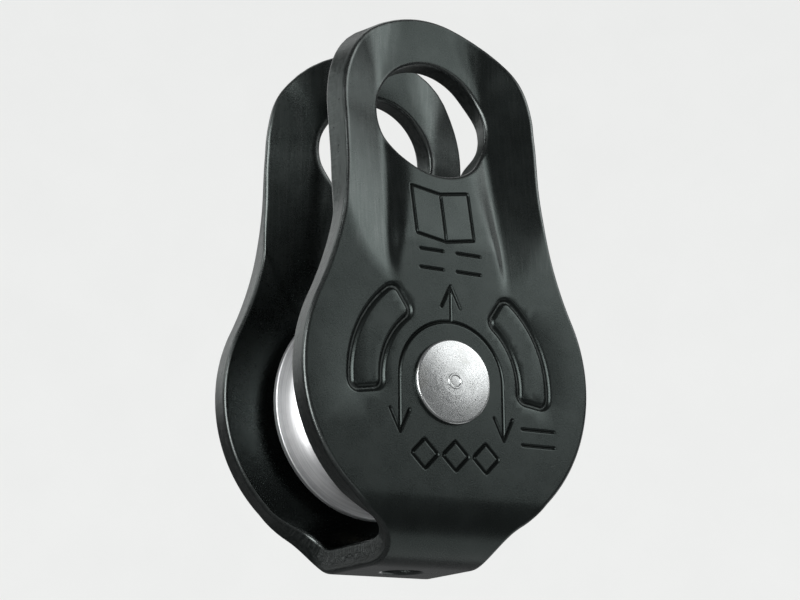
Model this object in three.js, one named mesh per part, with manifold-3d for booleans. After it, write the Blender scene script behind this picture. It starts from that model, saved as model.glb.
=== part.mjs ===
// Compact rope pulley with fixed side plates, for ropes up to 13 mm.
//
// Millimetres, +Z up. X runs across the plates and Y along the axle, with the front at -Y.
// The origin is the centre of the connector eye, midway between the two cheeks, and heights
// named *_RISE are measured from the axle.
import * as THREE from 'three';
import { mergeVertices } from 'three/addons/utils/BufferGeometryUtils.js';
import Module from 'manifold-3d';

const wasm = await Module();
wasm.setup();

// Side plate: one strip of sheet bent into a U, with two pear-shaped cheeks joined by a narrow web
const PLATE_THICKNESS = 3.5;
const OUTER_WIDTH = 28;
const BEND_RADIUS = 8.6; // outside of the bend
const BEND_RISE = -15.2; // where the bend starts, below the axle
const WEB_HALF_WIDTH = 8;
const WEB_FILLET = 6;
const WEB_HOLE_RADIUS = 2.8;
const DISC_RADIUS = 22.1; // round lower part of a cheek
const DISC_RISE = 1;
const FLARE_RADIUS = 49; // hollow curve between the disc and the neck
const HEAD_RADIUS = 15.3; // round top, as wide as the neck
const HEAD_RISE = 38.7;
const EYE_RADIUS = 8.7;
const EYE_RISE = 38.3;

// Pressed eye: the middle of the neck is pushed inwards between two creases
const PRESS_START_RISE = 13;
const PRESS_DEEP_RISE = 38;
const PRESS_TOP_RISE = 50;
const PRESS_DEPTH = 4.4;
const PRESS_EXTRA = 0.6; // added between the eye and the top
const CREASE_X = 8.3;
const CROWN_WIDTH = 4; // slope beside the crease, up to the crown between the creases
const CROWN_START_RISE = 20;
const CROWN_LENGTH = 25;
const FLANK_SLOPE = 0.46;
const FLANK_START_RISE = 10;
const FLANK_LENGTH = 24;

// Kidney-shaped grooves beside the axle
const KIDNEY_INNER_RADIUS = 10.1;
const KIDNEY_OUTER_RADIUS = 15.9;
const KIDNEY_LOW_ANGLE = -11;
const KIDNEY_HIGH_ANGLE = 58;
const KIDNEY_CORNER = 1.6;
const GROOVE_WIDTH = 1.1;
const GROOVE_DEPTH = 0.5;

// Axle and what turns on it
const SHANK_RADIUS = 4;
const RIVET_HEAD_RADIUS = 5.6;
const RIVET_HEAD_HEIGHT = 0.8;
const RIVET_EDGE = 0.25;
const SLEEVE_RADIUS = 5.5;
const BUSH_RADIUS = 7;
const BUSH_FLANGE_RADIUS = 9;
const BUSH_FLANGE = 1.2;
const WASHER_RADIUS = 9.6;
const WASHER_THICKNESS = 1;
const TREAD_RADIUS = 10.5;
const RIM_RADIUS = 16;
const RIM_LAND = 1.1;
const SHEAVE_WIDTH = 15.2;
const SHEAVE_EDGE = 0.4;

// Clearances
const STATIC_GAP = 0.3;
const SIDE_GAP = 0.25;
const RUNNING_GAP = 0.15;

const ROUND_STEPS = 56;
const HALF_WIDTH = OUTER_WIDTH / 2;
const INNER_HALF = HALF_WIDTH - PLATE_THICKNESS;
const BEND_MIDDLE_RADIUS = BEND_RADIUS - PLATE_THICKNESS / 2;
const BEND_LENGTH = (Math.PI / 2) * BEND_MIDDLE_RADIUS;
const WEB_FLAT_HALF = HALF_WIDTH - BEND_RADIUS;
const BASE_RISE = BEND_RISE - BEND_RADIUS;

// ---------------------------------------------------------------- closed bodies and booleans

// Keeps positions only, shares the vertices and drops triangles with no area.
function closed(geometry) {
  geometry.deleteAttribute('normal');
  geometry.deleteAttribute('uv');
  const merged = mergeVertices(geometry, 1e-4);
  const index = merged.getIndex().array;
  const kept = [];
  for (let i = 0; i < index.length; i += 3) {
    const [a, b, c] = index.slice(i, i + 3);
    if (a !== b && b !== c && c !== a) kept.push(a, b, c);
  }
  merged.setIndex(kept);
  return merged;
}

function solid(geometry) {
  const body = closed(geometry);
  return new wasm.Manifold(new wasm.Mesh({
    numProp: 3,
    vertProperties: new Float32Array(body.getAttribute('position').array),
    triVerts: new Uint32Array(body.getIndex().array),
  }));
}

function geometryOf(body) {
  const mesh = body.getMesh();
  const geometry = new THREE.BufferGeometry();
  geometry.setAttribute('position', new THREE.BufferAttribute(mesh.vertProperties, 3));
  geometry.setIndex(new THREE.BufferAttribute(mesh.triVerts, 1));
  return geometry;
}

// A flat shape drawn in X and Z, made a solid from y = low to y = high.
function alongY(shape, low, high) {
  const geometry = new THREE.ExtrudeGeometry(shape, { depth: high - low, bevelEnabled: false });
  geometry.rotateX(Math.PI / 2);
  geometry.translate(0, high, 0);
  return solid(geometry);
}

function roundAlongY(radius, rise) {
  const geometry = new THREE.CylinderGeometry(radius, radius, 2 * OUTER_WIDTH, ROUND_STEPS);
  return solid(geometry.translate(0, 0, rise));
}

// A turned piece about the axle, from [radius, y] points going round its section.
function turned(section) {
  const points = section.map(([radius, y]) => new THREE.Vector2(radius, y));
  if (section[0][0] > 0) points.push(points[0].clone());
  return closed(new THREE.LatheGeometry(points, ROUND_STEPS));
}

// A turned piece at one end of the axle, -1 the front and 1 the rear, from [radius, distance
// from the middle] points that start at the near side of the bore.
function turnedAtEnd(end, section) {
  const placed = section.map(([radius, distance]) => [radius, end * distance]);
  return turned(end > 0 ? placed : placed.reverse());
}

// ---------------------------------------------------------------- side plate

const clamp01 = (value) => THREE.MathUtils.clamp(value, 0, 1);

// How far the sheet is pressed inwards from the flat cheek, at x and a height above the axle.
function pressDepth(x, rise) {
  const beside = Math.abs(x) - CREASE_X;
  const valley = PRESS_DEPTH * clamp01((rise - PRESS_START_RISE) / (PRESS_DEEP_RISE - PRESS_START_RISE))
    + PRESS_EXTRA * clamp01((rise - PRESS_DEEP_RISE) / (PRESS_TOP_RISE - PRESS_DEEP_RISE));
  if (beside > 0) {
    const slope = FLANK_SLOPE * clamp01((rise - FLANK_START_RISE) / FLANK_LENGTH);
    return Math.max(0, valley - slope * beside);
  }
  const full = PRESS_DEPTH + PRESS_EXTRA;
  const crown = Math.min(valley, full * clamp01((rise - CROWN_START_RISE) / CROWN_LENGTH));
  return THREE.MathUtils.lerp(valley, crown, THREE.MathUtils.smoothstep(-beside, 0, CROWN_WIDTH));
}

// Carries a point of the flat strip to the bent plate. run is the distance from the web's middle,
// positive towards the front cheek, and depth is measured inwards from the outer skin.
function bent(x, run, depth) {
  const side = run < 0 ? 1 : -1;
  const length = Math.abs(run);
  if (length <= WEB_FLAT_HALF) return new THREE.Vector3(x, side * length, BASE_RISE + depth);
  if (length < WEB_FLAT_HALF + BEND_LENGTH) {
    const angle = (length - WEB_FLAT_HALF) / BEND_MIDDLE_RADIUS;
    const radius = BEND_RADIUS - depth;
    const y = side * (WEB_FLAT_HALF + radius * Math.sin(angle));
    return new THREE.Vector3(x, y, BEND_RISE - radius * Math.cos(angle));
  }
  const rise = length - WEB_FLAT_HALF - BEND_LENGTH + BEND_RISE;
  const step = 0.01;
  const slopeX = (pressDepth(x + step, rise) - pressDepth(x - step, rise)) / (2 * step);
  const slopeZ = (pressDepth(x, rise + step) - pressDepth(x, rise - step)) / (2 * step);
  const inwards = new THREE.Vector3(-slopeX, 1, -slopeZ).normalize().multiplyScalar(depth);
  const point = new THREE.Vector3(x, pressDepth(x, rise) - HALF_WIDTH, rise).add(inwards);
  point.y *= -side;
  return point;
}

// Places of the sheet's rows, closest together where it is bent or pressed.
function rowStations() {
  const half = [0, WEB_FLAT_HALF];
  const bendSteps = 8;
  for (let i = 1; i <= bendSteps; i += 1) half.push(WEB_FLAT_HALF + (BEND_LENGTH * i) / bendSteps);
  const straight = WEB_FLAT_HALF + BEND_LENGTH - BEND_RISE;
  half.push(straight + FLANK_START_RISE);
  const rowStep = 3;
  const top = HEAD_RISE + HEAD_RADIUS + rowStep;
  for (let rise = PRESS_START_RISE; rise <= top; rise += rowStep) half.push(straight + rise);
  return [...half.slice(1).reverse().map((run) => -run), ...half];
}

function columnStations() {
  const half = [0, 2.2, CREASE_X - CROWN_WIDTH, CREASE_X - CROWN_WIDTH / 2, CREASE_X, 10.5, 13, 18, 23];
  return [...half.slice(1).reverse().map((x) => -x), ...half];
}

// The whole width of the sheet, bent and pressed but not yet cut to its outline.
function bentSheet() {
  const columns = columnStations();
  const rows = rowStations();
  const geometry = new THREE.BoxGeometry(1, 1, 1, columns.length - 1, rows.length - 1, 1);
  const position = geometry.getAttribute('position');
  for (let i = 0; i < position.count; i += 1) {
    const column = Math.round((position.getX(i) + 0.5) * (columns.length - 1));
    const row = Math.round((position.getY(i) + 0.5) * (rows.length - 1));
    const depth = position.getZ(i) > 0 ? 0 : PLATE_THICKNESS;
    const point = bent(columns[column], rows[row], depth);
    position.setXYZ(i, point.x, point.y, point.z);
  }
  return solid(geometry);
}

// Points along an arc about (x, z), from one angle to another in degrees.
function arcPoints(x, z, radius, from, to, steps) {
  const points = [];
  for (let i = 0; i <= steps; i += 1) {
    const angle = THREE.MathUtils.degToRad(from + ((to - from) * i) / steps);
    points.push(new THREE.Vector2(x + radius * Math.cos(angle), z + radius * Math.sin(angle)));
  }
  return points;
}

// Outline of the plate seen along the axle: fillet, disc, hollow flare and round top.
function plateOutline() {
  const filletX = WEB_HALF_WIDTH + WEB_FILLET;
  const filletRise = DISC_RISE - Math.sqrt((DISC_RADIUS + WEB_FILLET) ** 2 - filletX ** 2);
  const filletAngle = THREE.MathUtils.radToDeg(Math.acos(filletX / (DISC_RADIUS + WEB_FILLET)));
  const flareX = HEAD_RADIUS + FLARE_RADIUS;
  const flareRise = DISC_RISE + Math.sqrt((DISC_RADIUS + FLARE_RADIUS) ** 2 - flareX ** 2);
  const flareAngle = THREE.MathUtils.radToDeg(Math.acos(flareX / (DISC_RADIUS + FLARE_RADIUS)));
  const right = [
    new THREE.Vector2(WEB_HALF_WIDTH, BASE_RISE - 1),
    ...arcPoints(filletX, filletRise, WEB_FILLET, 180, 180 - filletAngle, 6),
    ...arcPoints(0, DISC_RISE, DISC_RADIUS, -filletAngle, flareAngle, 20).slice(1),
    ...arcPoints(flareX, flareRise, FLARE_RADIUS, 180 + flareAngle, 180, 7).slice(1),
    ...arcPoints(0, HEAD_RISE, HEAD_RADIUS, 0, 90, 14),
  ];
  const left = right.slice(0, -1).reverse().map((p) => new THREE.Vector2(-p.x, p.y));
  return new THREE.Shape([...right, ...left]);
}

// A kidney outline round the axle with rounded corners, drawn inset from its full size.
function kidneyPoints(inset) {
  const inner = KIDNEY_INNER_RADIUS + inset;
  const outer = KIDNEY_OUTER_RADIUS - inset;
  const corner = KIDNEY_CORNER - inset;
  const cornerAt = (radius, edgeAngle, turn, from) => {
    const angle = edgeAngle + turn * THREE.MathUtils.radToDeg(KIDNEY_CORNER / radius);
    const centre = THREE.MathUtils.degToRad(angle);
    const [x, z] = [radius * Math.cos(centre), radius * Math.sin(centre)];
    return arcPoints(x, z, corner, angle + from, angle + from + 90, 3);
  };
  const low = KIDNEY_LOW_ANGLE;
  const high = KIDNEY_HIGH_ANGLE;
  return [
    ...cornerAt(outer - corner, low, 1, -90),
    ...arcPoints(0, 0, outer, low, high, 8).slice(2, -2),
    ...cornerAt(outer - corner, high, -1, 0),
    ...cornerAt(inner + corner, high, -1, 90),
    ...arcPoints(0, 0, inner, high, low, 8).slice(2, -2),
    ...cornerAt(inner + corner, low, 1, 180),
  ];
}

// The closed groove round a kidney, side 1 on the right and -1 on the left.
function kidneyGroove(side) {
  const onSide = (points) => {
    if (side > 0) return points;
    return points.map((p) => new THREE.Vector2(-p.x, p.y)).reverse();
  };
  const shape = new THREE.Shape(onSide(kidneyPoints(0)));
  shape.holes.push(new THREE.Path(onSide(kidneyPoints(GROOVE_WIDTH))));
  return shape;
}

function sidePlate() {
  const webHole = new THREE.CylinderGeometry(WEB_HOLE_RADIUS, WEB_HOLE_RADIUS, 3 * PLATE_THICKNESS, ROUND_STEPS / 2);
  webHole.rotateX(Math.PI / 2).translate(0, 0, BASE_RISE);
  let plate = bentSheet()
    .intersect(alongY(plateOutline(), -OUTER_WIDTH, OUTER_WIDTH))
    .subtract(roundAlongY(EYE_RADIUS, EYE_RISE))
    .subtract(roundAlongY(SHANK_RADIUS + STATIC_GAP, 0))
    .subtract(solid(webHole));
  for (const side of [-1, 1]) {
    plate = plate
      .subtract(alongY(kidneyGroove(side), -OUTER_WIDTH, GROOVE_DEPTH - HALF_WIDTH))
      .subtract(alongY(kidneyGroove(side), HALF_WIDTH - GROOVE_DEPTH, OUTER_WIDTH));
  }
  return geometryOf(plate);
}

// ---------------------------------------------------------------- axle, sleeve and sheave

// Steel rivet: a head outside each cheek and a plain shank through both.
function axleRivet() {
  const seat = HALF_WIDTH + 0.05;
  const top = seat + RIVET_HEAD_HEIGHT;
  const halfFrom = (end) => [
    [SHANK_RADIUS, end * seat],
    [RIVET_HEAD_RADIUS, end * seat],
    [RIVET_HEAD_RADIUS, end * (top - RIVET_EDGE)],
    [RIVET_HEAD_RADIUS - RIVET_EDGE, end * top],
    [0, end * top],
  ];
  return turned([...halfFrom(-1).reverse(), ...halfFrom(1)]);
}

// Keeps the cheeks apart and is what the bushes run on.
function spacerSleeve() {
  const bore = SHANK_RADIUS + STATIC_GAP;
  const half = INNER_HALF - STATIC_GAP;
  return turned([[bore, -half], [SLEEVE_RADIUS, -half], [SLEEVE_RADIUS, half], [bore, half]]);
}

// A flanged bush, pressed into one side of the sheave.
function bush(end) {
  const bore = SLEEVE_RADIUS + RUNNING_GAP;
  const flange = SHEAVE_WIDTH / 2 + SIDE_GAP;
  return turnedAtEnd(end, [
    [bore, STATIC_GAP],
    [BUSH_RADIUS, STATIC_GAP],
    [BUSH_RADIUS, flange],
    [BUSH_FLANGE_RADIUS, flange],
    [BUSH_FLANGE_RADIUS, flange + BUSH_FLANGE],
    [bore, flange + BUSH_FLANGE],
  ]);
}

// A washer between a bush's flange and its cheek.
function thrustWasher(end) {
  const bore = SLEEVE_RADIUS + RUNNING_GAP;
  const outside = INNER_HALF - SIDE_GAP;
  const inside = outside - WASHER_THICKNESS;
  return turnedAtEnd(end, [
    [bore, inside],
    [WASHER_RADIUS, inside],
    [WASHER_RADIUS, outside],
    [bore, outside],
  ]);
}

// Rope wheel with a round groove between two flanges.
function sheave() {
  const half = SHEAVE_WIDTH / 2;
  const lip = half - RIM_LAND;
  const bore = BUSH_RADIUS + STATIC_GAP;
  const grooveDepth = RIM_RADIUS - TREAD_RADIUS;
  const grooveSteps = 10;
  const groove = [];
  for (let i = 0; i <= grooveSteps; i += 1) {
    const angle = (Math.PI * i) / grooveSteps;
    groove.push([RIM_RADIUS - grooveDepth * Math.sin(angle), -lip * Math.cos(angle)]);
  }
  return turned([
    [bore, -half],
    [RIM_RADIUS - SHEAVE_EDGE, -half],
    [RIM_RADIUS, SHEAVE_EDGE - half],
    ...groove,
    [RIM_RADIUS, half - SHEAVE_EDGE],
    [RIM_RADIUS - SHEAVE_EDGE, half],
    [bore, half],
  ]);
}

// ---------------------------------------------------------------- assembly

const anodised = { color: 0x23282a, roughness: 0.45, metalness: 0.6 };
const turnedAluminium = { color: 0xd8dadb, roughness: 0.28, metalness: 1 };
const platedSteel = { color: 0xb4b6b5, roughness: 0.4, metalness: 1 };
const bronze = { color: 0x9a7648, roughness: 0.55, metalness: 1 };

function named(name, geometry, finish) {
  const mesh = new THREE.Mesh(geometry, new THREE.MeshStandardMaterial(finish));
  mesh.name = name;
  return mesh;
}

const pulley = new THREE.Group();
pulley.position.z = -EYE_RISE;
pulley.add(
  named('side_plate', sidePlate(), anodised),
  named('axle_rivet', axleRivet(), platedSteel),
  named('spacer_sleeve', spacerSleeve(), platedSteel),
  named('thrust_washer_front', thrustWasher(-1), platedSteel),
  named('thrust_washer_rear', thrustWasher(1), platedSteel),
  named('sheave', sheave(), turnedAluminium),
  named('bush_front', bush(-1), bronze),
  named('bush_rear', bush(1), bronze),
);

export default pulley;
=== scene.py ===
"""Looks for a compact rope pulley with fixed side plates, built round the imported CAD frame.

Shapes are worked out in millimetres from the axle's centre, with X across the plates, Y along
the axle (front at -Y) and Z up to the connector eye, then placed in the row frame in metres.
"""

import math

import bmesh
import bpy
import numpy as np
from mathutils import Matrix, Vector
from mathutils.geometry import delaunay_2d_cdt
from mathutils.kdtree import KDTree


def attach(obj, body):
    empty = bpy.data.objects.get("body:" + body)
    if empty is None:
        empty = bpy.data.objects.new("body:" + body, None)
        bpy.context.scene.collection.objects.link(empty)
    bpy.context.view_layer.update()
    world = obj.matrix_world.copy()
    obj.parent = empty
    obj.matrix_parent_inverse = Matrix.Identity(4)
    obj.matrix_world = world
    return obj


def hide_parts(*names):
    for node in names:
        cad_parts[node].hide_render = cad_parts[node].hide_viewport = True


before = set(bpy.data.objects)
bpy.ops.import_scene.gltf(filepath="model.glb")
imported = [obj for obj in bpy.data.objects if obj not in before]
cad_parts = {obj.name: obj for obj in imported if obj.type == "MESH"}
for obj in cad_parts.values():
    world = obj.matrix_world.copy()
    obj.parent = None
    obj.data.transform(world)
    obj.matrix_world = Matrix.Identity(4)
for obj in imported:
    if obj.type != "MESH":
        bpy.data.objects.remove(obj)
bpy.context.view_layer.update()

MM = 0.001
EYE_RISE = 38.3

# Side plate
THICKNESS = 3.5
HALF_WIDTH = 14.0
BEND_RADIUS = 8.6
BEND_RISE = -15.2
BEND_MIDDLE_RADIUS = BEND_RADIUS - THICKNESS / 2
WEB_FLAT_HALF = HALF_WIDTH - BEND_RADIUS
WEB_RUN = BEND_RISE - BEND_MIDDLE_RADIUS * math.pi / 2
RUN_START = WEB_RUN - WEB_FLAT_HALF
WEB_HALF_WIDTH = 8.0
WEB_FILLET = 6.0
WEB_HOLE_RADIUS = 2.8
DISC_RADIUS = 22.1
DISC_RISE = 1.0
FLARE_RADIUS = 49.0
HEAD_RADIUS = 15.3
HEAD_RISE = 38.7
EYE_RADIUS = 8.7
EDGE_ROUND = 0.5
EDGE_SUPPORT = 0.5
PIN_CLEARANCE = 0.3

# Marks
MARK_SPACING = 0.25
GROOVE_WIDTH = 0.7
GROOVE_DEPTH = 0.36
MARK_WIDTH = 0.34
MARK_DEPTH = 0.2

# Pressed eye
PRESS_START = 13.0
PRESS_DEEP = 38.0
PRESS_DEPTH = 4.4
PRESS_EXTRA = 0.6
CREASE_X = 8.3
CROWN_WIDTH = 3.8
CROWN_START = 20.0
CROWN_LENGTH = 25.0

# Wheel and axle
SHANK_RADIUS = 4.0
HEAD_OF_RIVET_RADIUS = 5.75
HEAD_OF_RIVET_HEIGHT = 0.88
HEAD_DOME_RADIUS = 52.0
SLEEVE_RADIUS = 5.5
BUSH_RADIUS = 7.0
BUSH_FLANGE_RADIUS = 9.0
WASHER_RADIUS = 9.6
RIM_RADIUS = 16.0
TREAD_RADIUS = 10.5
SHEAVE_HALF = 7.6
RIM_LAND = 1.1
SLEEVE_CLEARANCE = 0.15
BUSH_INNER_END = 0.3
BUSH_FLANGE_GAP = 0.25
BUSH_FLANGE_THICKNESS = 1.2
WASHER_THICKNESS = 1


# ---------------------------------------------------------------- pressed and bent sheet


def smooth(value):
    t = np.clip(value, 0.0, 1.0)
    return t * t * (3 - 2 * t)


def sharp_press(x, z):
    """Depth of the pressing before its creases are rounded."""
    crease = CREASE_X + 0.035 * np.clip(31.0 - z, 0.0, 15.0)
    beside = np.abs(x) - crease
    valley = PRESS_DEPTH * np.clip((z - PRESS_START) / (PRESS_DEEP - PRESS_START), 0, 1)
    valley = valley + PRESS_EXTRA * np.clip((z - PRESS_DEEP) / 12.0, 0, 1)
    slope = 0.16 + 0.27 * np.clip((z - 16.0) / 20.0, 0, 1) + 0.1 * np.clip((z - 42.0) / 5.0, 0, 1)
    flank = np.maximum(0.0, valley - slope * np.maximum(beside, 0.0))
    full = PRESS_DEPTH + PRESS_EXTRA
    crown = np.minimum(valley, full * np.clip((z - CROWN_START) / CROWN_LENGTH, 0, 1))
    wall = CROWN_WIDTH * np.clip((z - 14.0) / 15.0, 0.12, 1)
    inside = np.clip(-beside / wall, 0, 1)
    crowned = valley - (valley - crown) * (1 - (1 - inside) ** 1.6)
    return np.where(beside > 0, flank, crowned)


def press(x, z):
    """Depth of the pressing inwards from the flat cheek. Its creases are crisp beside the eye's
    foot and fade out towards the top."""
    spread = 0.32 + 1.5 * smooth((z - 43.0) / 8.0)
    total = 0.0
    for offset, share in ((-2, 0.14), (-1, 0.22), (0, 0.28), (1, 0.22), (2, 0.14)):
        for lift in (-0.7, 0.7):
            total = total + 0.5 * share * sharp_press(x + offset * spread, z + lift)
    return total


def fold(x, run, depth):
    """Points of the front half of the plate, from its flat blank. run is the height in the blank
    and depth is measured inwards from the outer skin."""
    angle = np.clip((BEND_RISE - run) / BEND_MIDDLE_RADIUS, 0, math.pi / 2)
    radius = BEND_RADIUS - depth
    cheek = run >= BEND_RISE
    web = run <= WEB_RUN
    step = 1.0
    lean_x = (press(x + step, run) - press(x - step, run)) / (2 * step)
    lean_z = (press(x, run + step) - press(x, run - step)) / (2 * step)
    size = np.sqrt(1 + lean_x**2 + lean_z**2)
    y = np.where(cheek, press(x, run) - HALF_WIDTH + depth / size, 0.0)
    y = np.where(cheek, y, -(WEB_FLAT_HALF + radius * np.cos(angle)))
    y = np.where(web, RUN_START - run, y)
    z = np.where(cheek, run - depth * lean_z / size, BEND_RISE - radius * np.sin(angle))
    z = np.where(web, BEND_RISE - BEND_RADIUS + depth, z)
    across = np.where(cheek, x - depth * lean_x / size, x)
    return np.stack([across, y, z], axis=1)


def arc(centre, radius, start, end, spacing, drawn=None):
    """Points along an arc, angles in degrees. drawn sets the spacing's radius, so that offset
    copies of an arc have as many points."""
    length = math.radians(abs(end - start)) * (drawn or radius)
    count = max(2, math.ceil(length / spacing))
    angles = np.radians(np.linspace(start, end, count + 1))
    return np.stack([centre[0] + radius * np.cos(angles), centre[1] + radius * np.sin(angles)], axis=1)


def line(start, end, spacing):
    start, end = np.array(start, float), np.array(end, float)
    count = max(1, math.ceil(np.linalg.norm(end - start) / spacing))
    return start + (end - start) * np.linspace(0, 1, count + 1)[:, None]


def outline(inset):
    """The blank's outline from the web's middle, up the right, over the top and down the left."""
    spacing = 0.55
    fillet_x = WEB_HALF_WIDTH + WEB_FILLET
    fillet_z = DISC_RISE - math.sqrt((DISC_RADIUS + WEB_FILLET) ** 2 - fillet_x**2)
    low = math.degrees(math.acos(fillet_x / (DISC_RADIUS + WEB_FILLET)))
    flare_x = HEAD_RADIUS + FLARE_RADIUS
    flare_z = DISC_RISE + math.sqrt((DISC_RADIUS + FLARE_RADIUS) ** 2 - flare_x**2)
    high = math.degrees(math.acos(flare_x / (DISC_RADIUS + FLARE_RADIUS)))
    edge = WEB_HALF_WIDTH - inset
    right = [
        line((edge, RUN_START), (edge, fillet_z), spacing),
        arc((fillet_x, fillet_z), WEB_FILLET + inset, 180, 180 - low, spacing, WEB_FILLET)[1:],
        arc((0, DISC_RISE), DISC_RADIUS - inset, -low, high, spacing, DISC_RADIUS)[1:],
        arc((flare_x, flare_z), FLARE_RADIUS + inset, 180 + high, 180, spacing, FLARE_RADIUS)[1:],
        line((HEAD_RADIUS - inset, flare_z), (HEAD_RADIUS - inset, HEAD_RISE), spacing)[1:],
        arc((0, HEAD_RISE), HEAD_RADIUS - inset, 0, 90, spacing, HEAD_RADIUS)[1:],
    ]
    right = np.concatenate(right)
    left = right[-2::-1] * np.array([-1, 1])
    return np.concatenate([right, left])


def hole(rise, radius, spacing):
    def ring(inset):
        return arc((0, rise), radius + inset, 0, 360, spacing, radius)[:-1]

    return ring


def web_hole(inset):
    return arc((0, RUN_START), WEB_HOLE_RADIUS + inset, 180, 0, 0.3, WEB_HOLE_RADIUS)


# ---------------------------------------------------------------- marks pressed into the cheeks


def kidney(side):
    """Middle line of the groove round a kidney-shaped panel beside the axle."""
    inner, outer, corner = 10.65, 15.35, 1.2
    low, high = -8.8, 56.0
    points = []
    corners = (
        (outer - corner, low, 1, -90),
        (outer - corner, high, -1, 0),
        (inner + corner, high, -1, 90),
        (inner + corner, low, 1, 180),
    )
    for k, (radius, edge, turn, start) in enumerate(corners):
        angle = edge + turn * math.degrees(corner / radius)
        centre = radius * math.cos(math.radians(angle)), radius * math.sin(math.radians(angle))
        points.append(arc(centre, corner, angle + start, angle + start + 90, MARK_SPACING))
        reach = outer if k == 0 else inner
        if k in (0, 2):
            following = corners[k + 1]
            stop = following[1] + following[2] * math.degrees(corner / following[0])
            points.append(arc((0, 0), reach, angle, stop, MARK_SPACING)[1:-1])
        else:
            following = corners[(k + 1) % 4]
            other = following[1] + following[2] * math.degrees(corner / following[0])
            tip = math.radians(other + following[3])
            begin = points[-1][-1]
            end = (
                following[0] * math.cos(math.radians(other)) + corner * math.cos(tip),
                following[0] * math.sin(math.radians(other)) + corner * math.sin(tip),
            )
            points.append(line(begin, end, MARK_SPACING)[1:-1])
    loop = np.concatenate(points)
    return np.concatenate([loop, loop[:1]]) * np.array([side, 1])


def arrow(tip, tail):
    """A shaft with two barbs, its tip first."""
    tip, tail = np.array(tip, float), np.array(tail, float)
    along = (tail - tip) / np.linalg.norm(tail - tip)
    across = np.array([-along[1], along[0]])
    strokes = [line(tip, tail, MARK_SPACING)]
    for side in (-1, 1):
        strokes.append(line(tip, tip + 3.0 * along + side * 1.45 * across, MARK_SPACING))
    return strokes


def closed_loop(corners):
    path = [line(a, b, MARK_SPACING) for a, b in zip(corners, corners[1:] + corners[:1])]
    return np.concatenate([path[0]] + [p[1:] for p in path[1:]])


def fine_marks():
    """Thin strokes: the load arrows round the axle and plain panels, bars and lozenges."""
    strokes = arrow((-8, -7.3), (-8, 0.25)) + arrow((8, -7.3), (8, 0.25))
    strokes += arrow((0, 13.3), (0, 8.25))
    strokes.append(arc((0, 0.25), 8, 0, 180, MARK_SPACING))
    lower_edge = [(-5.1, 20.2), (-0.6, 19.4), (3.9, 20.2)]
    upper_edge = [(3.9, 27.4), (-0.6, 26.6), (-5.1, 27.4)]
    strokes.append(closed_loop(lower_edge + upper_edge))
    strokes.append(line((-0.6, 19.8), (-0.6, 26.2), MARK_SPACING))
    for z in (18.0, 15.4):
        strokes.append(line((-4.6, z), (-1.1, z), MARK_SPACING))
        strokes.append(line((1.1, z), (4.8, z), MARK_SPACING))
    for z in (-5.4, -7.6):
        strokes.append(line((11.0, z), (16.2, z), MARK_SPACING))
    for x in (-4.3, 0.4, 5.1):
        strokes.append(closed_loop([(x - 2, -9.9), (x, -11.9), (x + 2, -9.9), (x, -7.9)]))
    return strokes


def distance_to(points, strokes):
    """Distance from each point to the nearest of the strokes' short segments."""
    starts = np.concatenate([s[:-1] for s in strokes])
    ends = np.concatenate([s[1:] for s in strokes])
    along = ends - starts
    sizes = (along**2).sum(1)
    best = np.full(len(points), np.inf)
    for first in range(0, len(points), 2000):
        part = points[first : first + 2000, None, :] - starts[None]
        t = np.clip((part * along[None]).sum(2) / sizes[None], 0, 1)
        gap = part - t[:, :, None] * along[None]
        best[first : first + 2000] = np.sqrt((gap**2).sum(2).min(1))
    return best


def tracks(strokes, offsets):
    """Closed lines round each stroke at the given distances, to lay the mesh's edges along it."""
    found = []
    for path in strokes:
        lean = np.gradient(path, axis=0)
        lean = lean / np.linalg.norm(lean, axis=1)[:, None]
        across = np.stack([-lean[:, 1], lean[:, 0]], axis=1)
        whole = np.allclose(path[0], path[-1])
        for offset in offsets:
            left, right = path + offset * across, path - offset * across
            if whole:
                found += [left[:-1], right[:-1]]
                continue
            start = math.degrees(math.atan2(across[-1][1], across[-1][0]))
            far = arc(path[-1], offset, start, start - 180, 0.15)[1:-1]
            start = math.degrees(math.atan2(-across[0][1], -across[0][0]))
            near = arc(path[0], offset, start, start - 180, 0.15)[1:-1]
            found.append(np.concatenate([left, far, right[::-1], near]))
    return found


def stamped(points, strokes, width, soft, depth):
    gap = distance_to(points, strokes)
    return depth * (1 - smooth((gap - (width / 2 - soft)) / (2 * soft)))


# ---------------------------------------------------------------- the plate's mesh


def inside_loop(points, loop):
    x, z = points[:, 0][:, None], points[:, 1][:, None]
    ax, az = loop[:, 0][None], loop[:, 1][None]
    bx, bz = np.roll(loop[:, 0], -1)[None], np.roll(loop[:, 1], -1)[None]
    crosses = (az > z) != (bz > z)
    at = ax + (z - az) / np.where(bz == az, 1, bz - az) * (bx - ax)
    return (crosses & (x < at)).sum(1) % 2 == 1


def thinned(points, fixed, apart):
    """Points that stay at least apart from each other and from the fixed ones."""
    tree = KDTree(len(fixed) + len(points))
    everything = np.concatenate([fixed, points])
    for k, p in enumerate(everything):
        tree.insert((p[0], p[1], 0), k)
    tree.balance()
    dropped = np.zeros(len(everything), bool)
    for k in range(len(fixed), len(everything)):
        p = everything[k]
        for _, other, _ in tree.find_range((p[0], p[1], 0), apart):
            if other < k and not dropped[other]:
                dropped[k] = True
                break
    return everything[len(fixed) :][~dropped[len(fixed) :]]


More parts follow.
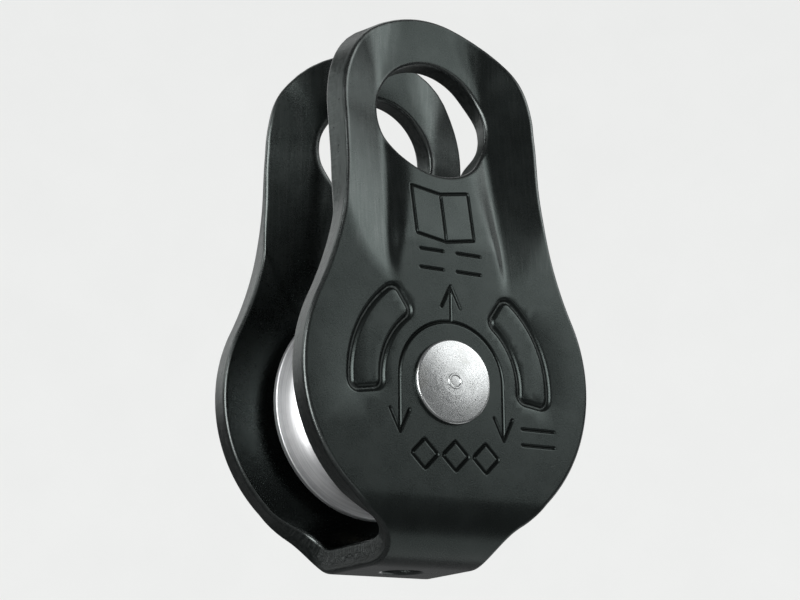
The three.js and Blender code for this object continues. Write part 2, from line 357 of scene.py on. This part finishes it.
def field_points():
    """Places over the blank's face, closest together where the sheet is pressed or bent."""
    xs = np.concatenate([
        np.arange(-22, -12.8, 0.9),
        np.arange(-12.6, 12.7, 0.45),
        np.arange(12.9, 22.1, 0.9),
    ])
    rows = np.concatenate([
        np.arange(RUN_START, WEB_RUN, 0.9),
        np.arange(WEB_RUN, BEND_RISE, 0.45),
        np.arange(BEND_RISE, 12.0, 0.9),
        np.arange(12.0, 55.0, 0.6),
    ])
    grid = np.stack(np.meshgrid(xs, rows), axis=2).reshape(-1, 2)
    sparse = (grid[:, 1] > BEND_RISE) & (grid[:, 1] < 12.0)
    keep = ~sparse | (np.round(grid[:, 0] / 0.45).astype(int) % 2 == 0)
    return grid[keep]


def face_of_blank(loops, chains, lines):
    """Triangles of the blank inside its boundary rings, with mesh edges along the given closed
    lines. Returns points and triangles; the first points are those of the rings, in order."""
    rim = np.concatenate(loops + chains)
    reach = EDGE_ROUND + EDGE_SUPPORT
    seam = line((WEB_HOLE_RADIUS + reach, RUN_START), (WEB_HALF_WIDTH - reach, RUN_START), 0.9)[1:-1]
    edges, starts, base = [], [], 0
    for k, ring in enumerate(loops + chains):
        count = len(ring)
        starts.append(base)
        edges += [(base + i, base + i + 1) for i in range(count - 1)]
        if k < len(loops):
            edges.append((base + count - 1, base))
        base += count
    plate_start, hole_start = starts[len(loops)], starts[len(loops) + 1]
    for first, last in ((len(rim) - 1, plate_start), (hole_start, hole_start - 1)):
        path = [first, *range(base, base + len(seam)), last]
        edges += list(zip(path, path[1:]))
        base += len(seam)
    below = np.array([[-30.0, RUN_START - 4], [30.0, RUN_START - 4]])
    held = [rim, seam, seam * np.array([-1, 1]), below]
    base += len(below)
    for ring in lines:
        count = len(ring)
        edges += [(base + i, base + (i + 1) % count) for i in range(count)]
        held.append(ring)
        base += count
    held = np.concatenate(held)
    area = np.concatenate([chains[0], chains[1]])
    inner = field_points()
    inner = inner[(inner[:, 1] > RUN_START + 0.3) & inside_loop(inner, area)]
    for ring in loops:
        inner = inner[~inside_loop(inner, ring)]
    inner = thinned(inner, held, 0.28)
    points = np.concatenate([held, inner])
    result = delaunay_2d_cdt([Vector(p) for p in points], edges, [], 0, 1e-4)
    places = np.array([tuple(v) for v in result[0]])
    triangles = np.array([tuple(t) for t in result[2]])
    centres = places[triangles].mean(1)
    keep = inside_loop(centres, area)
    for ring in loops:
        keep &= ~inside_loop(centres, ring)
    triangles = triangles[keep]
    # The rings' own points come first, so that the sheet's edge can be joined to them.
    order = np.full(len(places), -1)
    for k, sources in enumerate(result[3]):
        for source in sources:
            if source < len(rim):
                order[k] = source
    others = np.flatnonzero(order < 0)
    order[others] = len(rim) + np.arange(len(others))
    sorted_places = np.empty_like(places)
    sorted_places[order] = places
    sorted_places[: len(rim)] = rim
    triangles = order[triangles]
    used = np.unique(np.concatenate([np.arange(len(rim)), triangles.ravel()]))
    renumbered = np.zeros(len(places), int)
    renumbered[used] = np.arange(len(used))
    return sorted_places[used], renumbered[triangles]


def edge_profile():
    """(inset, depth) across the sheet's edge from the outer face to the inner one."""
    steps = 4
    top = []
    for k in range(steps + 1):
        angle = math.radians(90 - 90 * k / steps)
        top.append((EDGE_ROUND * (1 - math.cos(angle)), EDGE_ROUND * (1 - math.sin(angle))))
    top = [(EDGE_ROUND + EDGE_SUPPORT, 0.0), (EDGE_ROUND + 0.15, 0.0)] + top
    plain = THICKNESS - 2 * EDGE_ROUND
    wall = [(0.0, EDGE_ROUND + plain * k / 5) for k in (0.4, 1.5, 2.5, 3.5, 4.6)]
    return top + wall + [(inset, THICKNESS - depth) for inset, depth in reversed(top)]


def side_plate():
    rings = [hole(EYE_RISE, EYE_RADIUS, 0.4), hole(0, SHANK_RADIUS + PIN_CLEARANCE, 0.5)]
    chains = [outline, web_hole]
    grooves = [kidney(1), kidney(-1)]
    marks = fine_marks()
    fine = tracks(grooves, (0.1, 0.3, 0.42, 0.54, 0.7)) + tracks(marks, (0.08, 0.17, 0.26, 0.36))
    reach = EDGE_ROUND + EDGE_SUPPORT
    loops_at = [r(reach) for r in rings]
    chains_at = [c(reach) for c in chains]
    outer_points, outer_faces = face_of_blank(loops_at, chains_at, fine)
    inner_points, inner_faces = face_of_blank(loops_at, chains_at, [])

    flat, faces = [], []
    sunk = stamped(outer_points, grooves, GROOVE_WIDTH, 0.3, GROOVE_DEPTH)
    sunk = np.maximum(sunk, stamped(outer_points, marks, MARK_WIDTH, 0.09, MARK_DEPTH))
    # Painted shade: the sunk grooves and strokes get a darker colour, where shade falls in them.
    groove_shade = stamped(outer_points, grooves, 0.5, 0.24, 0.7)
    groove_shade = np.maximum(groove_shade, stamped(outer_points, marks, 0.3, 0.1, 1.0))
    flat.append(np.column_stack([outer_points, sunk]))
    base_inner = len(outer_points)
    flat.append(np.column_stack([inner_points, np.full(len(inner_points), THICKNESS)]))
    faces += [tuple(t) for t in outer_faces]
    faces += [tuple(base_inner + t[::-1]) for t in inner_faces]
    count = base_inner + len(inner_points)
    profile = edge_profile()
    first = 0
    for k, shape in enumerate(rings + chains):
        size = len(shape(reach))
        rows = [np.arange(first, first + size)]
        for inset, depth in profile[1:-1]:
            flat.append(np.column_stack([shape(inset), np.full(size, depth)]))
            rows.append(np.arange(count, count + size))
            count += size
        rows.append(base_inner + np.arange(first, first + size))
        around = size if k < len(rings) else size - 1
        for upper, lower in zip(rows, rows[1:]):
            for i in range(around):
                j = (i + 1) % size
                faces.append((upper[j], upper[i], lower[i], lower[j]))
        first += size
    flat = np.concatenate(flat)

    placed = fold(flat[:, 0], flat[:, 1], flat[:, 2])
    seam = (np.abs(placed[:, 1]) < 1e-4) & (flat[:, 1] < WEB_RUN)
    placed[seam, 1] = 0.0
    mirrored = placed * np.array([1, -1, 1])
    twin = np.arange(len(placed))
    twin[~seam] = len(placed) + np.arange((~seam).sum())
    everything = np.concatenate([placed, mirrored[~seam]])
    blank = np.concatenate([flat, flat[~seam]])
    groove_shade = np.concatenate([groove_shade, np.zeros(len(flat) - len(groove_shade))])
    groove_shade = np.concatenate([groove_shade, groove_shade[~seam]])
    faces = faces + [tuple(twin[v] for v in reversed(f)) for f in faces]
    return everything, faces, blank, groove_shade


# ---------------------------------------------------------------- turned pieces


def softened(section, closed):
    """Rounds the corners of a section of (radius, y, corner radius) points and adds a line of
    points close to each corner, so that flat faces shade flat."""
    count = len(section)
    result = []
    for k, (radius, y, corner) in enumerate(section):
        here = np.array([radius, y], float)
        ends = not closed and k in (0, count - 1)
        if corner == 0 or ends:
            result.append(here)
            continue
        before = np.array(section[k - 1][:2], float)
        after = np.array(section[(k + 1) % count][:2], float)
        u = (before - here) / np.linalg.norm(before - here)
        v = (after - here) / np.linalg.norm(after - here)
        half = math.acos(float(np.clip(u @ v, -1, 1))) / 2
        reach = corner / math.tan(half)
        middle = here + (u + v) / np.linalg.norm(u + v) * corner / math.sin(half)
        start, end = here + u * reach, here + v * reach
        result.append(start + u * 0.25 * corner)
        a, b = start - middle, end - middle
        turn = math.pi - 2 * half
        for i in range(5):
            t = i / 4
            mix = (math.sin((1 - t) * turn) * a + math.sin(t * turn) * b) / math.sin(turn)
            result.append(middle + mix)
        result.append(end + v * 0.25 * corner)
    return np.array(result)


def turned(section, closed=True, segments=144):
    """Revolves a section about the axle. Returns points, faces and how far round and along the
    section each point is."""
    line_of = softened(section, closed)
    steps = np.linalg.norm(np.diff(line_of, axis=0), axis=1)
    travel = np.concatenate([[0], np.cumsum(steps)])
    points, told, rows = [], [], []
    for k, (radius, y) in enumerate(line_of):
        if radius < 1e-9:
            rows.append([len(points)] * segments)
            points.append((0, y, 0))
            told.append((0, 0, travel[k]))
            continue
        rows.append(list(range(len(points), len(points) + segments)))
        for i in range(segments):
            angle = 2 * math.pi * i / segments
            points.append((radius * math.cos(angle), y, radius * math.sin(angle)))
            told.append((math.cos(angle), math.sin(angle), travel[k]))
    faces = []
    pairs = list(zip(rows, rows[1:]))
    if closed:
        pairs.append((rows[-1], rows[0]))
    for a, b in pairs:
        for i in range(segments):
            j = (i + 1) % segments
            corners = [a[i], a[j], b[j], b[i]]
            faces.append(tuple(dict.fromkeys(corners)))
    return np.array(points), faces, np.array(told)


def at_end(end, section):
    placed = [(radius, end * y, corner) for radius, y, corner in section]
    return placed if end > 0 else placed[::-1]


def rivet_section():
    """The pin with its two domed heads, each with a small raised ring left by the tool."""
    seat = HALF_WIDTH + 0.05
    top = seat + HEAD_OF_RIVET_HEIGHT
    half = [
        (SHANK_RADIUS, seat, 0),
        (HEAD_OF_RIVET_RADIUS, seat, 0.05),
        (HEAD_OF_RIVET_RADIUS, top - 0.31, 0.36),
    ]
    for radius in (4.9, 4.4, 3.7, 2.8, 1.9):
        half.append((radius, top - radius**2 / (2 * HEAD_DOME_RADIUS), 0.1))
    half += [
        (1.12, top - 0.02, 0.04),
        (1.02, top + 0.05, 0.04),
        (0.84, top + 0.05, 0.04),
        (0.7, top - 0.05, 0.04),
        (0, top - 0.02, 0),
    ]
    rear = [(r, -y, c) for r, y, c in half]
    return rear[::-1] + half


def sheave_section():
    lip = SHEAVE_HALF - RIM_LAND
    depth = RIM_RADIUS - TREAD_RADIUS
    bore = BUSH_RADIUS + 0.3
    groove = []
    for k in range(37):
        angle = math.pi * k / 36
        corner = 0.22 if k in (0, 36) else 0
        groove.append((RIM_RADIUS - depth * math.sin(angle), -lip * math.cos(angle), corner))
    side = [(bore, 0.2), (RIM_RADIUS, 0.3)]
    rear = [(r, -SHEAVE_HALF, c) for r, c in side]
    front = [(r, SHEAVE_HALF, c) for r, c in reversed(side)]
    return rear + groove + front


def bush_section(end):
    bore = SLEEVE_RADIUS + SLEEVE_CLEARANCE
    flange = SHEAVE_HALF + BUSH_FLANGE_GAP
    return at_end(end, [
        (bore, BUSH_INNER_END, 0.1),
        (BUSH_RADIUS, BUSH_INNER_END, 0.15),
        (BUSH_RADIUS, flange, 0.05),
        (BUSH_FLANGE_RADIUS, flange, 0.12),
        (BUSH_FLANGE_RADIUS, flange + BUSH_FLANGE_THICKNESS, 0.2),
        (bore, flange + BUSH_FLANGE_THICKNESS, 0.15),
    ])


def washer_section(end):
    bore = SLEEVE_RADIUS + SLEEVE_CLEARANCE
    outside = HALF_WIDTH - THICKNESS - 0.25
    return at_end(end, [
        (bore, outside - WASHER_THICKNESS, 0.12),
        (WASHER_RADIUS, outside - WASHER_THICKNESS, 0.2),
        (WASHER_RADIUS, outside, 0.2),
        (bore, outside, 0.12),
    ])


def sleeve_section():
    half = HALF_WIDTH - THICKNESS - 0.3
    return [(SHANK_RADIUS + PIN_CLEARANCE, -half, 0.1), (SLEEVE_RADIUS, -half, 0.2),
            (SLEEVE_RADIUS, half, 0.2), (SHANK_RADIUS + PIN_CLEARANCE, half, 0.1)]


# ---------------------------------------------------------------- node materials


class Finish:
    """A procedural material under construction."""

    def __init__(self, name):
        self.material = bpy.data.materials.new(name)
        self.material.use_nodes = True
        self.tree = self.material.node_tree
        self.shader = self.tree.nodes["Principled BSDF"]

    def node(self, kind, **settings):
        made = self.tree.nodes.new(kind)
        for key, value in settings.items():
            setattr(made, key, value)
        return made

    def join(self, source, socket):
        self.tree.links.new(source, socket)

    def attribute(self, name):
        return self.node("ShaderNodeAttribute", attribute_name=name).outputs["Vector"]

    def amount(self, name):
        return self.node("ShaderNodeAttribute", attribute_name=name).outputs["Fac"]

    def place(self):
        return self.node("ShaderNodeTexCoord").outputs["Object"]

    def scaled(self, source, scale):
        mapping = self.node("ShaderNodeMapping")
        mapping.inputs["Scale"].default_value = scale
        self.join(source, mapping.inputs["Vector"])
        return mapping.outputs["Vector"]

    def noise(self, source, scale, detail=3.0, roughness=0.55, stretch=(1, 1, 1)):
        made = self.node("ShaderNodeTexNoise")
        made.inputs["Scale"].default_value = scale
        made.inputs["Detail"].default_value = detail
        made.inputs["Roughness"].default_value = roughness
        self.join(self.scaled(source, stretch), made.inputs["Vector"])
        return made.outputs["Fac"]

    def spots(self, source, scale):
        made = self.node("ShaderNodeTexVoronoi")
        made.inputs["Scale"].default_value = scale
        self.join(source, made.inputs["Vector"])
        return made.outputs["Distance"]

    def ranged(self, source, low, high, to_low, to_high):
        made = self.node("ShaderNodeMapRange")
        made.inputs["From Min"].default_value = low
        made.inputs["From Max"].default_value = high
        made.inputs["To Min"].default_value = to_low
        made.inputs["To Max"].default_value = to_high
        self.join(source, made.inputs["Value"])
        return made.outputs["Result"]

    def maths(self, operation, a, b):
        made = self.node("ShaderNodeMath", operation=operation)
        for socket, value in zip(made.inputs, (a, b)):
            if isinstance(value, (int, float)):
                socket.default_value = value
            else:
                self.join(value, socket)
        return made.outputs["Value"]

    def blended(self, share, a, b):
        """Between colours a and b, each a colour's numbers or a socket."""
        made = self.node("ShaderNodeMix", data_type="RGBA")
        self.join(share, made.inputs[0])
        for socket, value in ((made.inputs[6], a), (made.inputs[7], b)):
            if isinstance(value, tuple):
                socket.default_value = (*value, 1)
            else:
                self.join(value, socket)
        return made.outputs[2]

    def bumped(self, height, strength, distance):
        made = self.node("ShaderNodeBump")
        made.inputs["Strength"].default_value = strength
        made.inputs["Distance"].default_value = distance
        self.join(height, made.inputs["Height"])
        return made.outputs["Normal"]


def anodised():
    """Satin black anodising over blasted sheet, with faint drawing lines where it is pressed."""
    f = Finish("anodised_face")
    sheet = f.attribute("blank")
    cloud = f.noise(sheet, 0.22, 3)
    grain = f.noise(sheet, 5.5, 4, 0.65)
    drawn = f.noise(sheet, 3.0, 4, 0.6, (1, 0.06, 1))
    rub_and_sheen_noise = f.noise(sheet, 1.3, 5, 0.7)
    rim = f.amount("rim")
    pressed = f.amount("pressed")
    base = f.blended(f.ranged(cloud, 0.3, 0.7, 0, 1), (0.040, 0.0475, 0.0455), (0.052, 0.061, 0.0585))
    streaks = f.maths("MULTIPLY", f.ranged(drawn, 0.45, 0.75, 0, 0.6), pressed)
    base = f.blended(streaks, base, (0.075, 0.083, 0.081))
    # Painted highlight with some wear: the rounded edges are coloured lighter in patches.
    wear_and_sheen = f.maths("MULTIPLY", rim, f.ranged(rub_and_sheen_noise, 0.3, 0.75, 0.25, 0.65))
    base = f.blended(wear_and_sheen, base, (0.15, 0.16, 0.158))
    # Painted shade: the sunk grooves and strokes are coloured darker.
    shade_in_grooves = f.amount("groove_shade")
    base = f.blended(shade_in_grooves, base, (0.008, 0.0095, 0.009))
    f.join(base, f.shader.inputs["Base Color"])
    rough = f.maths("ADD", f.ranged(grain, 0.3, 0.7, 0.25, 0.32), f.ranged(cloud, 0.3, 0.7, -0.02, 0.02))
    f.join(rough, f.shader.inputs["Roughness"])
    height = f.maths("ADD", grain, f.maths("MULTIPLY", f.maths("MULTIPLY", drawn, pressed), 0.8))
    f.join(f.bumped(height, 0.25, 0.00004), f.shader.inputs["Normal"])
    f.shader.inputs["Metallic"].default_value = 1.0
    return f.material


def anodised_cut():
    """The same black on the sheared edge of the sheet: streaked across its thickness and pitted."""
    f = Finish("anodised_cut_edge")
    edge = f.attribute("blank")
    shear = f.noise(edge, 2.2, 4, 0.6, (1, 0.16, 1))
    grain = f.noise(edge, 7.0, 4, 0.7)
    torn = f.noise(edge, 2.6, 5, 0.7, (1, 1, 0.12))
    ragged = f.noise(edge, 0.9, 3)
    where = f.node("ShaderNodeSeparateXYZ")
    f.join(edge, where.inputs["Vector"])
    inner = f.maths("ADD", where.outputs["Z"], f.ranged(ragged, 0.3, 0.7, -0.7, 0.7))
    low = f.ranged(where.outputs["Y"], -21, -17, 1, 0.25)
    zone = f.maths("MULTIPLY", f.ranged(inner, 1.5, 2.1, 0, 1), low)
    pits = f.spots(edge, 1.1)
    scatter = f.noise(edge, 0.6, 2)
    base = f.blended(f.ranged(shear, 0.35, 0.7, 0, 1), (0.036, 0.042, 0.040), (0.07, 0.078, 0.076))
    scored = f.maths("MULTIPLY", zone, f.ranged(torn, 0.45, 0.7, 0, 1))
    base = f.blended(scored, base, (0.16, 0.175, 0.17))
    hollow = f.maths("MULTIPLY", f.ranged(pits, 0.05, 0.16, 1, 0), f.ranged(scatter, 0.5, 0.56, 0, 1))
    base = f.blended(hollow, base, (0.008, 0.009, 0.009))
    f.join(base, f.shader.inputs["Base Color"])
    f.join(f.ranged(shear, 0.3, 0.7, 0.3, 0.46), f.shader.inputs["Roughness"])
    height = f.maths("ADD", shear, f.maths("MULTIPLY", grain, 0.5))
    height = f.maths("ADD", height, f.maths("MULTIPLY", f.maths("MULTIPLY", torn, zone), 2.5))
    height = f.maths("SUBTRACT", height, f.maths("MULTIPLY", hollow, 2.0))
    f.join(f.bumped(height, 0.45, 0.00008), f.shader.inputs["Normal"])
    f.shader.inputs["Metallic"].default_value = 1.0
    return f.material


def machined(name, light, dark, roughness, lines=6.0, depth=0.00003):
    """Bare metal with lines left by turning."""
    f = Finish(name)
    turn = f.attribute("turn")
    fine = f.noise(turn, lines, 5, 0.7, (0.12, 0.12, 1))
    broad = f.noise(turn, lines * 0.22, 3, 0.5, (0.3, 0.3, 1))
    stain = f.noise(f.place(), 160, 4, 0.6)
    base = f.blended(f.ranged(fine, 0.38, 0.66, 0, 1), light, dark)
    base = f.blended(f.ranged(stain, 0.5, 0.8, 0, 0.35), base, tuple(0.72 * c for c in dark))
    f.join(base, f.shader.inputs["Base Color"])
    rough = f.ranged(broad, 0.3, 0.7, roughness - 0.05, roughness + 0.06)
    rough = f.maths("ADD", rough, f.ranged(stain, 0.4, 0.7, 0, 0.06))
    f.join(rough, f.shader.inputs["Roughness"])
    height = f.maths("ADD", fine, f.maths("MULTIPLY", broad, 0.7))
    f.join(f.bumped(height, 0.35, depth), f.shader.inputs["Normal"])
    f.shader.inputs["Metallic"].default_value = 1.0
    return f.material


def grained(name, light, dark, roughness, grain_size, depth):
    """Matte metal with a blasted or sintered grain."""
    f = Finish(name)
    place = f.place()
    grain = f.noise(place, grain_size, 5, 0.7)
    cloud = f.noise(place, grain_size * 0.12, 3)
    specks = f.spots(place, grain_size * 0.7)
    base = f.blended(f.ranged(grain, 0.32, 0.7, 0, 1), dark, light)
    base = f.blended(f.ranged(cloud, 0.45, 0.8, 0, 0.35), base, dark)
    base = f.blended(f.ranged(specks, 0.02, 0.12, 0.6, 0), base, (0.05, 0.05, 0.05))
    f.join(base, f.shader.inputs["Base Color"])
    f.join(f.ranged(grain, 0.3, 0.7, roughness - 0.07, roughness + 0.08), f.shader.inputs["Roughness"])
    f.join(f.bumped(grain, 0.5, depth), f.shader.inputs["Normal"])
    f.shader.inputs["Metallic"].default_value = 1.0
    return f.material


def struck(name):
    """Bright plating on a struck rivet head: speckled, with pits in clusters and a grey bloom."""
    f = Finish(name)
    place = f.place()
    speckle = f.noise(place, 9000, 2, 0.7)
    cloud = f.noise(place, 420, 3)
    grime = f.noise(place, 230, 4, 0.6)
    pits = f.spots(place, 3600)
    cluster = f.noise(place, 260, 2)
    base = f.blended(f.ranged(speckle, 0.36, 0.64, 0, 1), (0.46, 0.48, 0.48), (0.76, 0.78, 0.78))
    base = f.blended(f.ranged(cloud, 0.4, 0.75, 0, 0.45), base, (0.48, 0.5, 0.49))
    base = f.blended(f.ranged(grime, 0.6, 0.78, 0, 0.55), base, (0.3, 0.29, 0.24))
    holes = f.maths("MULTIPLY", f.ranged(pits, 0.16, 0.34, 1, 0), f.ranged(cluster, 0.46, 0.58, 0.12, 0.85))
    base = f.blended(holes, base, (0.16, 0.17, 0.165))
    f.join(base, f.shader.inputs["Base Color"])
    f.join(f.ranged(cloud, 0.3, 0.7, 0.21, 0.28), f.shader.inputs["Roughness"])
    height = f.maths("SUBTRACT", speckle, holes)
    f.join(f.bumped(height, 0.22, 0.00002), f.shader.inputs["Normal"])
    f.shader.inputs["Metallic"].default_value = 1.0
    return f.material


def paper(name):
    """Pale paper, lit evenly from behind."""
    f = Finish(name)
    mottle = f.noise(f.place(), 18, 3)
    share = f.ranged(mottle, 0.3, 0.7, 0, 1)
    f.join(f.blended(share, (0.20, 0.202, 0.20), (0.196, 0.198, 0.196)), f.shader.inputs["Base Color"])
    f.join(f.blended(share, (0.67, 0.675, 0.67), (0.661, 0.666, 0.661)), f.shader.inputs["Emission Color"])
    f.join(f.ranged(mottle, 0.3, 0.7, 0.85, 0.95), f.shader.inputs["Roughness"])
    f.shader.inputs["Emission Strength"].default_value = 1.0
    return f.material


# ---------------------------------------------------------------- pieces in the row frame


def to_row_frame(points):
    return (np.asarray(points, float) - np.array([0, 0, EYE_RISE])) * MM


def add_mesh(name, points, faces, materials, owners=None):
    mesh = bpy.data.meshes.new(name)
    mesh.from_pydata([tuple(p) for p in points], [], faces)
    for material in materials:
        mesh.materials.append(material)
    if owners is not None:
        mesh.polygons.foreach_set("material_index", owners)
    mesh.polygons.foreach_set("use_smooth", np.ones(len(mesh.polygons), bool))
    form = bmesh.new()
    form.from_mesh(mesh)
    bmesh.ops.recalc_face_normals(form, faces=form.faces)
    form.to_mesh(mesh)
    form.free()
    mesh.update()
    made = bpy.data.objects.new(name, mesh)
    bpy.context.scene.collection.objects.link(made)
    return made


def told(piece, name, values, kind="FLOAT"):
    layer = piece.data.attributes.new(name, kind, "POINT")
    key = "vector" if kind == "FLOAT_VECTOR" else "value"
    layer.data.foreach_set(key, np.asarray(values, np.float32).ravel())


def fit(piece, body, node):
    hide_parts(node)
    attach(piece, body)


def add_plate():
    points, faces, blank, groove_shade = side_plate()
    across, run, depth = blank.T
    in_wall = (depth > EDGE_ROUND * 0.45) & (depth < THICKNESS - EDGE_ROUND * 0.45)
    owners = [1 if all(in_wall[v] for v in f) else 0 for f in faces]
    piece = add_mesh("plate_skin", to_row_frame(points), faces, [anodised(), anodised_cut()], owners)
    told(piece, "blank", np.stack([across, run, depth], axis=1), "FLOAT_VECTOR")
    # Mask of the rounded edges, where the face material paints a lighter sheen and wear.
    rounded = (depth > 0.02) & (depth < EDGE_ROUND * 1.01) & (distance_rim(across, run) < EDGE_ROUND)
    rounded |= (depth > THICKNESS - EDGE_ROUND * 1.01) & (depth < THICKNESS - 0.02)
    told(piece, "rim", rounded)
    told(piece, "groove_shade", groove_shade)
    told(piece, "pressed", smooth((run - 14) / 6) * smooth((np.abs(across) - 4.5) / 2))
    fit(piece, "plates", "side_plate")


def distance_rim(across, run):
    """How far points of the blank are from its outline and holes."""
    points = np.stack([across, run], axis=1)
    holes = [hole(EYE_RISE, EYE_RADIUS, 0.4)(0), hole(0, SHANK_RADIUS + PIN_CLEARANCE, 0.5)(0)]
    closed = [np.concatenate([loop, loop[:1]]) for loop in holes]
    return distance_to(points, [outline(0), *closed, web_hole(0)])


def add_turned(name, section, material, body, node, closed=True, segments=144):
    points, faces, turn = turned(section, closed, segments)
    piece = add_mesh(name, to_row_frame(points), faces, [material])
    told(piece, "turn", turn, "FLOAT_VECTOR")
    fit(piece, body, node)


def add_wheel_and_axle():
    bright = machined("sheave_turned", (0.94, 0.945, 0.95), (0.66, 0.67, 0.68), 0.4)
    bronze = grained("bush_bronze", (0.46, 0.3, 0.15), (0.25, 0.155, 0.07), 0.48, 2600, 0.00003)
    ground = machined("sleeve_ground", (0.62, 0.62, 0.61), (0.44, 0.44, 0.43), 0.2, 9.0, 0.00001)
    stamped_steel = grained("washer_steel", (0.56, 0.56, 0.55), (0.36, 0.36, 0.35), 0.36, 1900, 0.00002)
    plated = struck("rivet_plated")
    add_turned("sheave_wheel", sheave_section(), bright, "wheel", "sheave",
               segments=192)
    add_turned("rivet_heads", rivet_section(), plated, "plates", "axle_rivet", closed=False)
    add_turned("sleeve_core", sleeve_section(), ground, "plates", "spacer_sleeve")
    for end, side in ((-1, "front"), (1, "rear")):
        add_turned(f"bush_{side}_flanged", bush_section(end), bronze, "wheel",
                   f"bush_{side}")
        add_turned(f"washer_{side}_thin", washer_section(end), stamped_steel, "plates",
                   f"thrust_washer_{side}")


# ---------------------------------------------------------------- studio

VIEW_AZIMUTH = -29.75
VIEW_ELEVATION = -15.0
VIEW_ROLL = -0.49
VIEW_DISTANCE = 246.4
VIEW_RISE = 14.15
LENS = 79.4
LAMP_AIM = (0, 0, -0.02)


def add_camera():
    a, e, r = (math.radians(v) for v in (VIEW_AZIMUTH, VIEW_ELEVATION, VIEW_ROLL))
    back = Vector((math.sin(a) * math.cos(e), -math.cos(a) * math.cos(e), math.sin(e)))
    level = Vector((math.cos(a), math.sin(a), 0))
    up = back.cross(level)
    right = math.cos(r) * level + math.sin(r) * up
    up = math.cos(r) * up - math.sin(r) * level
    lens = bpy.data.cameras.new("camera")
    lens.lens = LENS
    lens.sensor_width = 36
    lens.clip_start = 0.005
    lens.clip_end = 20
    camera = bpy.data.objects.new("camera", lens)
    place = Vector(to_row_frame(VIEW_RISE * up + VIEW_DISTANCE * back))
    camera.matrix_world = Matrix.Translation(place) @ Matrix((right, up, back)).transposed().to_4x4()
    bpy.context.scene.collection.objects.link(camera)
    bpy.context.scene.camera = camera


def add_softbox(name, azimuth, elevation, distance, size, brightness, roll=0):
    """A rectangular softbox aimed at the pulley. Azimuth 0 is in front and 90 to the right."""
    a, e = math.radians(azimuth), math.radians(elevation)
    place = Vector((math.sin(a) * math.cos(e), -math.cos(a) * math.cos(e), math.sin(e))) * distance
    lamp = bpy.data.lights.new(name, "AREA")
    lamp.shape = "RECTANGLE"
    lamp.size, lamp.size_y = size
    lamp.energy = brightness * math.pi * size[0] * size[1]
    made = bpy.data.objects.new(name, lamp)
    made.location = place
    made.rotation_euler = (Vector(LAMP_AIM) - place).to_track_quat("-Z", "Y").to_euler()
    made.rotation_euler.rotate_axis("Z", math.radians(roll))
    made.visible_camera = False
    bpy.context.scene.collection.objects.link(made)


def add_stage():
    """A plain floor below the pulley that curves up into a wall all round. It is only for the
    camera: the metal reflects the lamps and not the paper."""
    low, far, cove, tall, sides = -0.32, 1.3, 0.4, 1.6, 96
    profile = [(0.3, low)]
    for k in range(13):
        angle = math.radians(90 * k / 12)
        profile.append((far - cove + cove * math.sin(angle), low + cove - cove * math.cos(angle)))
    profile.append((far, tall))
    points = [(0, 0, low)]
    for reach, z in profile:
        for k in range(sides):
            angle = 2 * math.pi * k / sides
            points.append((reach * math.cos(angle), reach * math.sin(angle), z))
    faces = [(0, 1 + k, 1 + (k + 1) % sides) for k in range(sides)]
    for row in range(len(profile) - 1):
        first = 1 + row * sides
        for k in range(sides):
            j = (k + 1) % sides
            faces.append((first + k, first + j, first + sides + j, first + sides + k))
    stage = add_mesh("floor_and_wall", points, faces, [paper("floor_paper")])
    stage.visible_glossy = False


def add_light():
    world = bpy.data.worlds.new("studio")
    world.use_nodes = True
    around = world.node_tree.nodes["Background"]
    around.inputs["Color"].default_value = (0.93, 0.94, 0.95, 1)
    around.inputs["Strength"].default_value = 0.16
    bpy.context.scene.world = world
    add_softbox("key", 42.5, 27, 0.7, (0.51, 0.44), 1.6, roll=29)
    add_softbox("key_side", 60, 26, 0.7, (0.38, 0.26), 2.0)
    add_softbox("left", -53, 1, 0.7, (0.45, 0.5), 6.0)
    add_softbox("far_left", -107, 25, 0.7, (0.3, 0.3), 3.0)
    add_softbox("back_left", 204, 25, 0.75, (0.5, 0.5), 1.5)
    add_softbox("top", 170, 68, 0.6, (0.6, 0.4), 1.2)
    add_softbox("under", 92, -54, 0.7, (0.6, 0.42), 0.6)
    # These reach the sides that the main camera doesn't see.
    add_softbox("front_low", 4, -14, 0.7, (0.3, 0.24), 0.7)
    add_softbox("right_low", 92, -8, 0.7, (0.3, 0.26), 1.1)
    add_softbox("back_right", 127, -18, 0.7, (0.3, 0.24), 1.4)


add_plate()
add_wheel_and_axle()
add_camera()
add_stage()
add_light()
bpy.context.scene.view_settings.view_transform = "Standard"
